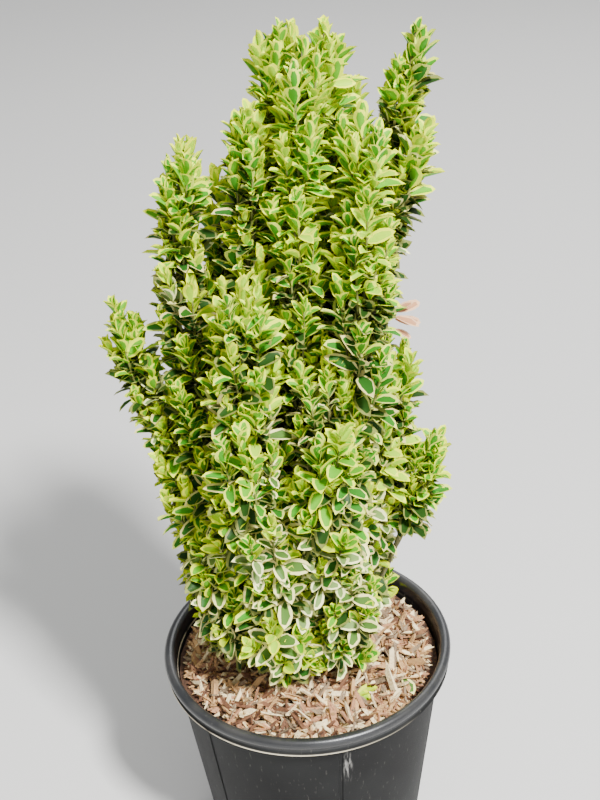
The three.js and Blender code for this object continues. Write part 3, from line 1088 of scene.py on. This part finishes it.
def tube(path: Array, radii: Array, sides: int, ridges: float = 0.0) -> tuple[Array, Faces]:
    """Make a closed round bar along a path.

    Args:
        path: The middle line.
        radii: The radius at each point.
        sides: Faces round it.
        ridges: Depth of the bark's ridges as a share of the radius.

    Returns:
        The points and the faces.
    """
    _, first, second = frames_along(path)
    turn = full_turn(sides)
    step = np.arange(len(path))[:, None]
    wave = np.sin(3 * turn + 0.9 * step) + 0.6 * np.sin(5 * turn - 1.7 * step)
    size = radii[:, None] * (1 + ridges * wave)
    rings = (
        path[:, None]
        + (size * np.cos(turn))[..., None] * first[:, None]
        + (size * np.sin(turn))[..., None] * second[:, None]
    )
    return closed_rings(rings, path[[0, -1]])


@dataclass(frozen=True)
class LeafShape:
    """A pointed oval leaf with a pale margin, in units of its half width and its length.

    Attributes:
        bend: How far the tip curves away from the upper face.
        fold: How far the sides are raised along the midrib.
        wave: How far the margin waves.
        unevenness: How far the green heart's edge wanders.
        seed: Seed of the unevenness.
        heart: How wide the green heart is beside the usual.
        rows: How far along the leaf each row stands, how wide it is and how wide its heart.
    """

    bend: float
    fold: float
    wave: float
    unevenness: float
    seed: int
    heart: float
    rows: tuple[tuple[float, ...], ...] = (
        (0.0, 0.12, 0.6), (0.13, 0.54, 0.5), (0.34, 0.92, 0.58), (0.61, 1.0, 0.6), (0.86, 0.7, 0.4))

    def points(self) -> Array:
        """Give the leaf's points: across, along and up.

        Returns:
            A row for each point.
        """
        rng = np.random.default_rng(self.seed)
        made = []
        for row, (along, half, heart) in enumerate(self.rows):
            left, right = (
                self.heart * heart + rng.uniform(-1, 1) * self.unevenness for _ in range(2))
            for column, across in enumerate((-half, -half * left, 0.0, half * right, half)):
                ripple = self.wave * math.sin(row * 2.1 + column) * abs(across)
                up = self.fold * abs(across) - self.bend * along**2 + ripple
                made.append((across, along, up))
        made.append((0.0, 1.0, -self.bend))
        return np.array(made)

    def faces(self) -> Faces:
        """Give the leaf's faces, with 0 for the heart and 1 for the margin.

        Returns:
            The faces and their marks.
        """
        grid = np.arange(len(self.rows) * 5).reshape(-1, 5)
        quads = np.stack([grid[:-1, :-1], grid[:-1, 1:], grid[1:, 1:], grid[1:, :-1]], axis=-1)
        marks = np.tile([1, 0, 0, 1], len(grid) - 1)
        ends = np.stack([grid[-1, :-1], grid[-1, 1:], np.full(4, grid.size)], axis=-1)
        return [(quads.reshape(-1, 4), marks), (ends, np.ones(4))]


LEAF_SHAPES = [
    LeafShape(bend=0.1, fold=0.34, wave=0.02, unevenness=0.08, seed=1, heart=0.95),
    LeafShape(bend=0.3, fold=0.28, wave=0.04, unevenness=0.12, seed=2, heart=1.08),
    LeafShape(bend=0.55, fold=0.24, wave=0.06, unevenness=0.15, seed=3, heart=1.24),
    LeafShape(bend=0.8, fold=0.22, wave=0.08, unevenness=0.16, seed=4, heart=1.28),
    LeafShape(bend=0.4, fold=0.2, wave=0.1, unevenness=0.17, seed=5, heart=1.16),
    LeafShape(bend=-0.06, fold=0.3, wave=0.04, unevenness=0.1, seed=6, heart=0.86),
]


class Leaf(NamedTuple):
    """One leaf: its root, the ways it points and faces, its length and width, and its numbers."""

    root: Array
    along: Array
    face: Array
    length: float
    width: float
    shape: int
    palette: int


def join_leaves(
    name: str, leaves: list[Leaf], finishes: list[Material], nodes: list[str]
) -> None:
    """Join leaves into one piece and settle it.

    Args:
        name: The piece's name.
        leaves: Its leaves.
        finishes: Every palette's materials.
        nodes: The solids that the piece replaces.
    """
    batch = MeshBatch()
    for number, shape in enumerate(LEAF_SHAPES):
        mine = [leaf for leaf in leaves if leaf.shape == number]
        if not mine:
            continue
        root, along, face, length, width, _, palette = map(np.array, zip(*mine))
        along = unit(along)
        face = unit(face - along * np.sum(face * along, axis=1, keepdims=True))
        half = width[:, None] / 2
        form = shape.points()
        points = (
            root[:, None]
            + form[:, :1] * (np.cross(along, face) * half)[:, None]
            + form[:, 1:2] * (along * length[:, None])[:, None]
            + form[:, 2:] * (face * half * 2)[:, None]
        )
        base = np.arange(len(mine))[:, None, None] * len(form)
        batch.add(points.reshape(-1, 3), [
            ((base + corners).reshape(-1, corners.shape[1]), (palette[:, None] * 2 + marks).ravel())
            for corners, marks in shape.faces()
        ])
    LOG.info("%s: %d leaves", name, len(leaves))
    settle(batch.build(name, finishes), nodes)


@dataclass
class ShootGrower:
    """Grows leafy shoots in the space of a mass by the solids' rule, carried to finer twigs.

    Attributes:
        mass: The mass.
        leaves: Where its leaves go.
        twigs: Where its twigs go.
        rng: Random numbers.
        golden: The share of a turn between one shoot and the next.
        spacing: Distance between leaf pairs at the tip and further down.
        leaf_length: Length of the youngest and of a full-grown leaf.
        leafy: Longest stretch of a shoot that carries leaves.
        inset: How far inside the mass's space a shoot's tip stays.
        opening: How far a grown leaf stands off its shoot, in degrees.
        droop: How much further it hangs low down on the front, in degrees.
        droop_top: The height from which leaves begin to hang.
        droop_depth: How far below that they hang fully.
        shoots_per_metre: Shoots for each metre of a mass of middling girth.
        middling_girth: That girth.
        twig_radii: A twig's radius at its foot and at its tip.
        lowest: The height under which no leaf may reach.
        summit: Shoots that end close to the top of each mass besides those.
        narrow: How much shorter the lowest shoots are on the shaded left.
        apron: How much longer they are at the very front.
        narrow_top: The height below which they are shorter.
        narrow_depth: How far below that they are shortest.
        yellow: The share of leaves that are all yellow.
        yellow_ages: The ages between which they are found: 0 is a shoot's tip, 1 its lowest leaf.
        young_age: The age up to which leaves have the young palette.
        shade_age: The age from which inner leaves may be painted dark as shade.
        core: How near the stem a leaf is inner, beside the mass's girth.
        inward: How much nearer the pot's axis than its stem a leaf is inner, beside the girth.
        deep_age: The age from which leaves may be painted deep green as shade.
        deep: The share of them, beside the share of inner leaves that are painted dark as shade.
        leafy_spread: Limits of the leafy stretch beside the usual.
        spray_spread: Limits of the leaf size of a spray beside the usual.
        length_spread: Limits of a leaf's length beside its spray's.
        width_spread: Limits of its width beside the usual.
        rise_spread: Limits of how far above its root a shoot ends.
        sage_middle: Middle of the patch low on the front where grey-green sprays gather, their
            paleness partly a painted sheen of sky reflection.
        sage_reach: How far that patch reaches.
        sage: The share of its sprays that are grey-green, partly as a painted sheen.
        young: The share of sprays whose young leaves have each of the first three palettes.
    """

    mass: FoliageMass
    leaves: list[Leaf]
    twigs: MeshBatch
    rng: Rng
    golden: float = 0.618034
    spacing: Span = (0.0047, 0.0089)
    leaf_length: Span = (0.0148, 0.0254)
    leafy: float = 0.15
    inset: float = 0.014
    opening: float = 46.0
    droop: float = 92.0
    droop_top: float = 0.56
    droop_depth: float = 0.2
    shoots_per_metre: float = 92.0
    middling_girth: float = 0.044
    twig_radii: Span = (0.0016, 0.0008)
    lowest: float = 0.2285
    summit: int = 2
    narrow: float = 0.96
    apron: float = 0.5
    narrow_top: float = 0.4
    narrow_depth: float = 0.1
    yellow: float = 0.007
    yellow_ages: Span = (0.04, 0.3)
    young_age: float = 0.16
    shade_age: float = 0.25
    core: float = 0.34
    inward: float = 0.22
    deep_age: float = 0.28
    deep: float = 0.42
    leafy_spread: Span = (0.75, 1.05)
    spray_spread: Span = (0.78, 1.18)
    length_spread: Span = (0.84, 1.14)
    width_spread: Span = (0.88, 1.12)
    rise_spread: Span = (0.06, 0.12)
    sage_middle: Place = (0.012, -0.10, 0.36)
    sage_reach: float = 0.145
    sage: float = 0.8
    young: tuple[float, ...] = (0.42, 0.38, 0.2)

    def grow(self) -> None:
        """Grow the mass's leaves and twigs."""
        mass = self.mass
        self._clothe(mass.line)
        height = mass.tip[2] - mass.low
        close = self.shoots_per_metre * mass.zone.value.density
        count = int(round(height * close * (mass.girth / self.middling_girth) ** 1.2))
        turn = self.rng.random()
        shares = (np.arange(count) + 0.5) / count
        for share in [*shares, *np.linspace(0.93, 1.0, self.summit)]:
            turn = (turn + self.golden) % 1
            path = self._shoot_path(turn, share)
            self.twigs.add(*tube(path, np.linspace(*self.twig_radii, len(path)), 5))
            self._clothe(path)

    def _shoot_path(self, turn: float, share: float) -> Array:
        """Lay a shoot from the stem out into the mass's space and up.

        Args:
            turn: Its direction as a share of a turn.
            share: How high up the mass it ends, from 0 to 1.

        Returns:
            The shoot's line.
        """
        mass, rng = self.mass, self.rng
        top = mass.low + 0.03 + (mass.tip[2] - 0.012 - mass.low - 0.03) * share**0.86
        top = min(top + rng.uniform(-0.012, 0.012), mass.tip[2] - 0.016)
        radius = max(mass.girth_at(top) - self.inset, 0.008) * rng.uniform(0.35, 1.12) ** 0.6
        angle = turn * 2 * math.pi
        outward = np.array([math.cos(angle), math.sin(angle), 0.0])
        low = limited((self.narrow_top - top) / self.narrow_depth)
        left = limited(-float(mass.foot[0]) / mass.girth)
        radius *= 1 - self.narrow * low * left * max(0.0, -float(outward[0])) ** 0.5
        if mass.foot[1] < 0:
            radius *= 1 + self.apron * low * max(0.0, -float(outward[1]))
        end = mass.centre_at(top) + outward * radius
        end[2] = top
        rise = rng.uniform(*self.rise_spread)
        base = mass.line_at(max(top - rise, mass.start[2] + 0.012))
        bend = base + (end - base) * rng.uniform(0.5, 0.84)
        bend[2] = base[2] + (end[2] - base[2]) * rng.uniform(0.26, 0.42)
        return bezier(base, bend, end, 9)

    def _spray(self, tip: Array) -> tuple[int, int]:
        """Choose the palettes of a spray's young and grown leaves.

        Args:
            tip: Where its shoot ends.

        Returns:
            The two palettes' numbers.
        """
        rng = self.rng
        shares = self.mass.look_at(float(tip[2])).shares
        grown = int(rng.choice(len(shares), p=np.array(shares) / sum(shares)))
        # Low on the front most sprays take the old palettes, whose paleness is partly a painted
        # sheen of sky reflection.
        off_sage = float(np.linalg.norm(tip - self.sage_middle))
        if off_sage < self.sage_reach and rng.random() < self.sage:
            grown = int(rng.choice([Palette.OLD_GREY.number, Palette.OLD_PALE.number]))
        return int(rng.choice(len(self.young), p=self.young)), grown

    def _tint(self, place: Array, age: float, spray: tuple[int, int]) -> int:
        """Choose a leaf's palette: young at the tip, with painted shade inside the crown and low
        down the shoot.

        Args:
            place: Where the leaf grows.
            age: 0 at the shoot's tip and about 1 at its lowest leaf.
            spray: The palettes of the spray's young and grown leaves.

        Returns:
            The palette's number.
        """
        mass = self.mass
        chance = self.rng.random()
        if self.yellow_ages[0] < age < self.yellow_ages[1] and chance < self.yellow:
            return Palette.YELLOW.number
        middle = mass.centre_at(place[2])
        off = float(np.hypot(*(place[:2] - middle[:2]))) / mass.girth
        inward = float(np.hypot(*middle[:2]) - np.hypot(*place[:2])) / mass.girth
        shade = mass.look_at(float(place[2])).shade
        is_inner = off < self.core or inward > self.inward
        if age > self.shade_age and is_inner and chance < shade:
            return Palette.SHADE.number
        # Older leaves low on the shoot are painted deep green as shade, more often where the part
        # has more shade.
        if age > self.deep_age and chance > 1.0 - self.deep * shade:
            return Palette.DEEP.number
        return spray[0] if age < self.young_age * (0.7 + 0.6 * chance) else spray[1]

    def _open(self, place: Array, outward: Array, age: float) -> float:
        """Choose how far a leaf stands off its shoot: it hangs most low down on the front.

        Args:
            place: Where the leaf grows.
            outward: The way across the shoot on its side.
            age: 0 at the shoot's tip and about 1 at its lowest leaf.

        Returns:
            The angle in degrees.
        """
        spread = 12 + self.opening * min(1.0, age * 2.2) ** 0.7 + self.rng.normal(0, 12)
        away = float(np.dot(outward[:2], place[:2]) / (np.linalg.norm(place[:2]) + 1e-6))
        low = limited((self.droop_top - float(place[2])) / self.droop_depth)
        front = 0.4 + 0.6 * max(0.0, -float(outward[1]))
        droop = (8.0 + self.droop * low * front) * self.mass.zone.value.hang
        return spread + droop * max(0.0, away) * min(1.0, age * 2.0)

    def _clothe(self, path: Array) -> None:
        """Set opposite pairs of leaves along a shoot, each pair across the one before.

        Args:
            path: The shoot's line.
        """
        look, rng = self.mass.zone.value, self.rng
        steps = np.linalg.norm(np.diff(path, axis=0), axis=1)
        run = np.concatenate([[0], np.cumsum(steps)])
        lines = (path, *frames_along(path))
        leafy = min(run[-1] * 0.92, self.leafy * rng.uniform(*self.leafy_spread) * look.leafy)
        spray = self._spray(path[-1])
        vigour = look.size * rng.uniform(*self.spray_spread)
        spin = rng.uniform(0, 2 * math.pi)
        down = 0.0
        pair = 0
        while down < leafy:
            age = down / self.leafy
            place, axis, across, other = (row_at(run[-1] - down, run, line) for line in lines)
            axis = unit(axis)
            size = between(self.leaf_length, min(1.0, (age * 4.6 + 0.05) ** 0.6))
            for side in (0.0, math.pi):
                angle = spin + pair * math.pi / 2 + side + rng.normal(0, 0.2)
                outward = across * math.cos(angle) + other * math.sin(angle)
                lean = math.radians(self._open(place, outward, age))
                way = axis * math.cos(lean) + outward * math.sin(lean)
                face = axis * math.sin(lean) - outward * math.cos(lean)
                roll = rng.normal(0, 0.3)
                face = face * math.cos(roll) + np.cross(way, face) * math.sin(roll)
                length = size * vigour * rng.uniform(*self.length_spread)
                width = length * look.width * rng.uniform(*self.width_spread)
                shape = int(rng.choice([0, 5, 1])) if age < 0.2 else int(rng.integers(1, 5))
                tint = self._tint(place, age, spray)
                root = place + outward * 0.001
                if root[2] + way[2] * length >= self.lowest:
                    self.leaves.append(Leaf(root, way, face, length, width, shape, tint))
            down += between(self.spacing, min(1.0, age * 3))
            down *= rng.uniform(0.97, 1.03)
            pair += 1


@dataclass
class Shrub:
    """The whole shrub: its root crown, boughs, twigs and leaves."""

    crown_level: float = 0.2223
    crown_height: float = 0.040
    crown_top_radius: float = 0.023
    crown_flare_radius: float = 0.036
    crown_lobes: int = 5
    crown_lobe_share: float = 0.12
    crown_sides: int = 60
    stem_end_radius: float = 0.0013
    mulch_top: float = 0.2305
    dry_root: Place = (0.095, -0.014, 0.63)

    def build(self) -> None:
        """Make every piece of the shrub."""
        masses = all_masses()
        self._bark(masses)
        finishes = leaf_finishes()
        twig = DriedWood("green_twig", srgb(124, 128, 62), srgb(84, 84, 44), 300.0, 4.0, 0.0002)
        young_bark = twig.build()
        for seed, (name, group) in enumerate(self._groups(masses).items()):
            leaves: list[Leaf] = []
            twigs = MeshBatch()
            for i, mass in enumerate(group):
                rng = np.random.default_rng(1000 * (seed + 1) + i)
                ShootGrower(mass, leaves, twigs, rng).grow()
            join_leaves(f"{name}_leaves", leaves, finishes, [mass.node for mass in group])
            settle(twigs.build(f"{name}_twigs", [young_bark]), [])
        join_leaves("fallen_leaves", self._fallen(), finishes, [])
        join_leaves("dry_leaves", self._dry_spray(), finishes, [])

    def _groups(self, masses: list[FoliageMass]) -> dict[str, list[FoliageMass]]:
        """Share the masses out over pieces: the skirt, and the belt's and the towers' masses split
        front and back. Share the masses out over pieces that stay within the export's size.

        Args:
            masses: Every mass.

        Returns:
            The masses of each piece by its name.
        """
        groups = {"skirt": [mass for mass in masses if mass.zone is Zone.SKIRT]}
        for name, zones in (
            ("belt", (Zone.BELT, Zone.OUTLIER)), ("tower", (Zone.TOWER, Zone.SUMMIT))
        ):
            mine = [mass for mass in masses if mass.zone in zones]
            groups[f"{name}_front"] = [mass for mass in mine if mass.foot[1] < 0]
            groups[f"{name}_back"] = [mass for mass in mine if mass.foot[1] >= 0]
        return groups

    def _bark(self, masses: list[FoliageMass]) -> None:
        """Make the root crown, the boughs and the stems with the bark's relief.

        Args:
            masses: Every mass.
        """
        batch = MeshBatch()
        batch.add(*self._crown())
        for mass in masses:
            share = np.linspace(0, 1, len(mass.line))
            radii = between((mass.limb_radius, self.stem_end_radius), share**0.9)
            batch.add(*tube(mass.line, radii, 10, ridges=0.05))
        bark = DriedWood("spindle_bark", srgb(104, 100, 62), srgb(52, 48, 30), 240.0, 5.0, 0.0009)
        piece = batch.build("crown_and_boughs", [bark.build()])
        settle(piece, ["root_crown", *[mass.limb_node for mass in masses]])

    def _crown(self) -> tuple[Array, Faces]:
        """Give the root crown's points and faces: lobed at the foot, domed at the top.

        Returns:
            The points and the faces.
        """
        flare, top = self.crown_flare_radius, self.crown_top_radius
        section = np.array([
            (flare - 0.004, 0.0), (flare - 0.0065, 0.003), (flare - 0.009, 0.007),
            (top + 0.0034, 0.013), (top + 0.0015, 0.018), (top + 0.0006, 0.026), (top, 0.033),
            (top - 0.0012, 0.037), (top - 0.004, 0.0396),
        ])
        height = section[:, 1:]
        turn = full_turn(self.crown_sides)
        low = 1 - np.clip(height / self.crown_height, 0, 1) ** 2
        swell = 1 + self.crown_lobe_share * low * np.cos(self.crown_lobes * turn)
        ridge = 1 + 0.018 * np.sin(17 * turn + height * 150)
        rings = around(section[:, :1] * swell * ridge, turn, height + self.crown_level)
        peak = self.crown_level + self.crown_height
        return closed_rings(rings, np.array([[0, 0, self.crown_level], [0, 0, peak]]))

    def _fallen(self) -> list[Leaf]:
        """Lay a few fallen leaves on the mulch.

        Returns:
            The leaves.
        """
        places = [
            (0.047, -0.074, 0.4, Palette.YELLOW), (0.060, -0.083, 2.2, Palette.YOUNG_LIME),
            (-0.109, 0.015, 1.1, Palette.YELLOW), (-0.040, -0.112, 3.0, Palette.DRY),
            (0.096, -0.052, 5.1, Palette.OLD_GREY), (0.088, 0.071, 0.9, Palette.YELLOW),
            (-0.062, 0.100, 4.2, Palette.DRY),
        ]
        face = np.array([0.1, -0.05, 1.0])
        leaves = []
        for number, (x, y, yaw, palette) in enumerate(places):
            root = np.array([x, y, self.mulch_top])
            way = np.array([math.cos(yaw), math.sin(yaw), 0.12])
            shape = number % len(LEAF_SHAPES)
            leaves.append(Leaf(root, way, face, 0.024, 0.012, shape, palette.number))
        return leaves

    def _dry_spray(self) -> list[Leaf]:
        """Fan out the few dry leaves that hang at the right of the crown.

        Returns:
            The leaves.
        """
        leaves = []
        rows = (
            (0.005, 0.42, 0.018, 0.1), (0.003, 0.1, 0.028, -0.5), (0.0, -0.14, 0.023, 0.5),
            (-0.003, -0.36, 0.027, -0.3), (-0.012, -0.5, 0.017, 0.2),
        )
        for number, (above, rise, length, forward) in enumerate(rows):
            way = np.array([math.cos(rise), -forward, math.sin(rise)])
            face = np.array([0.1 * (number % 3), -0.5 - 0.5 * (number % 2), 0.8])
            root = np.array(self.dry_root) + 0.003 * unit(way) + (0, 0, above)
            leaves.append(
                Leaf(root, way, face, length, length * 0.34, number % 3, Palette.DRY.number))
        return leaves


# Camera, floor and lights


@dataclass
class Studio:
    """The pale floor, the soft lights and the camera at the photograph's angle.

    Attributes:
        eye: Where the camera stands.
        pitch_down: How far it looks down, in degrees.
        roll: How far it is turned about its own line of sight, in degrees.
        sensor: Width of its sensor in millimetres.
        focal_pixels: Its focal length in pixels.
        long_side: The picture's longer side in pixels.
        aim: What the lights face.
        floor_reach: Half the floor's side.
        sky_colour: Colour of the even light from all round.
        sky_strength: Strength of that light.
        lights: Each light's name, place, power in watts and side.
    """

    eye: Place = (0.008, -1.121, 1.226)
    pitch_down: float = 31.5
    roll: float = -3.45
    sensor: float = 36.0
    focal_pixels: float = 1400.0
    long_side: float = 800.0
    aim: Place = (0, 0, 0.5)
    floor_reach: float = 4.0
    sky_colour: Colour = (0.95, 0.97, 1.0, 1.0)
    sky_strength: float = 0.56
    lights: tuple[tuple[str, Place, float, float], ...] = (
        ("key", (1.35, -2.05, 3.5), 455.0, 0.5),
        ("fill", (0.9, -3.0, 1.0), 26.0, 1.6),
        ("back", (0.8, 2.4, 2.4), 38.0, 1.6),
    )

    def build(self) -> None:
        """Make the camera, the floor, the sky and the lights."""
        self._camera()
        self._floor()
        self._sky()
        self._lights()

    def _camera(self) -> None:
        """Place the camera."""
        data = bpy.data.cameras.new("camera")
        data.sensor_width = self.sensor
        data.lens = self.focal_pixels / self.long_side * self.sensor
        camera = linked("camera", data)
        camera.location = self.eye
        look = Euler((math.radians(90 - self.pitch_down), 0, 0)).to_matrix()
        tilt = Euler((0, 0, math.radians(self.roll))).to_matrix()
        camera.rotation_euler = (look @ tilt).to_euler()
        bpy.context.scene.camera = camera

    def _floor(self) -> None:
        """Lay the pale floor."""
        corners = np.array([[-1, -1, 0], [1, -1, 0], [1, 1, 0], [-1, 1, 0]])
        batch = MeshBatch()
        batch.add(corners * self.floor_reach, [(np.array([[0, 1, 2, 3]]), np.zeros(1))])
        material, bench = new_material("pale_floor")
        bench.dress(Base_Color=srgb(214, 213, 210), Roughness=0.85)
        batch.build("floor", [material])

    def _sky(self) -> None:
        """Set the even light from all round."""
        world = bpy.data.worlds.new("sky")
        world.use_nodes = True
        back = next(node for node in world.node_tree.nodes if node.type == "BACKGROUND")
        back.inputs["Color"].default_value = self.sky_colour
        back.inputs["Strength"].default_value = self.sky_strength
        bpy.context.scene.world = world

    def _lights(self) -> None:
        """Hang the area lights so that they face the shrub."""
        for name, place, power, size in self.lights:
            data = bpy.data.lights.new(name, "AREA")
            data.energy = power
            data.size = size
            light = linked(name, data)
            light.location = place
            aim = Vector(self.aim) - Vector(place)
            light.rotation_euler = aim.to_track_quat("-Z", "Y").to_euler()


def main() -> None:
    """Build the studio, the pot, the mulch and the shrub in order."""
    logging.basicConfig(level=logging.INFO, format="%(message)s", stream=sys.stdout)
    Studio().build()
    NurseryPot().build()
    MulchTop().build()
    Shrub().build()


if __name__ == "__main__":
    main()
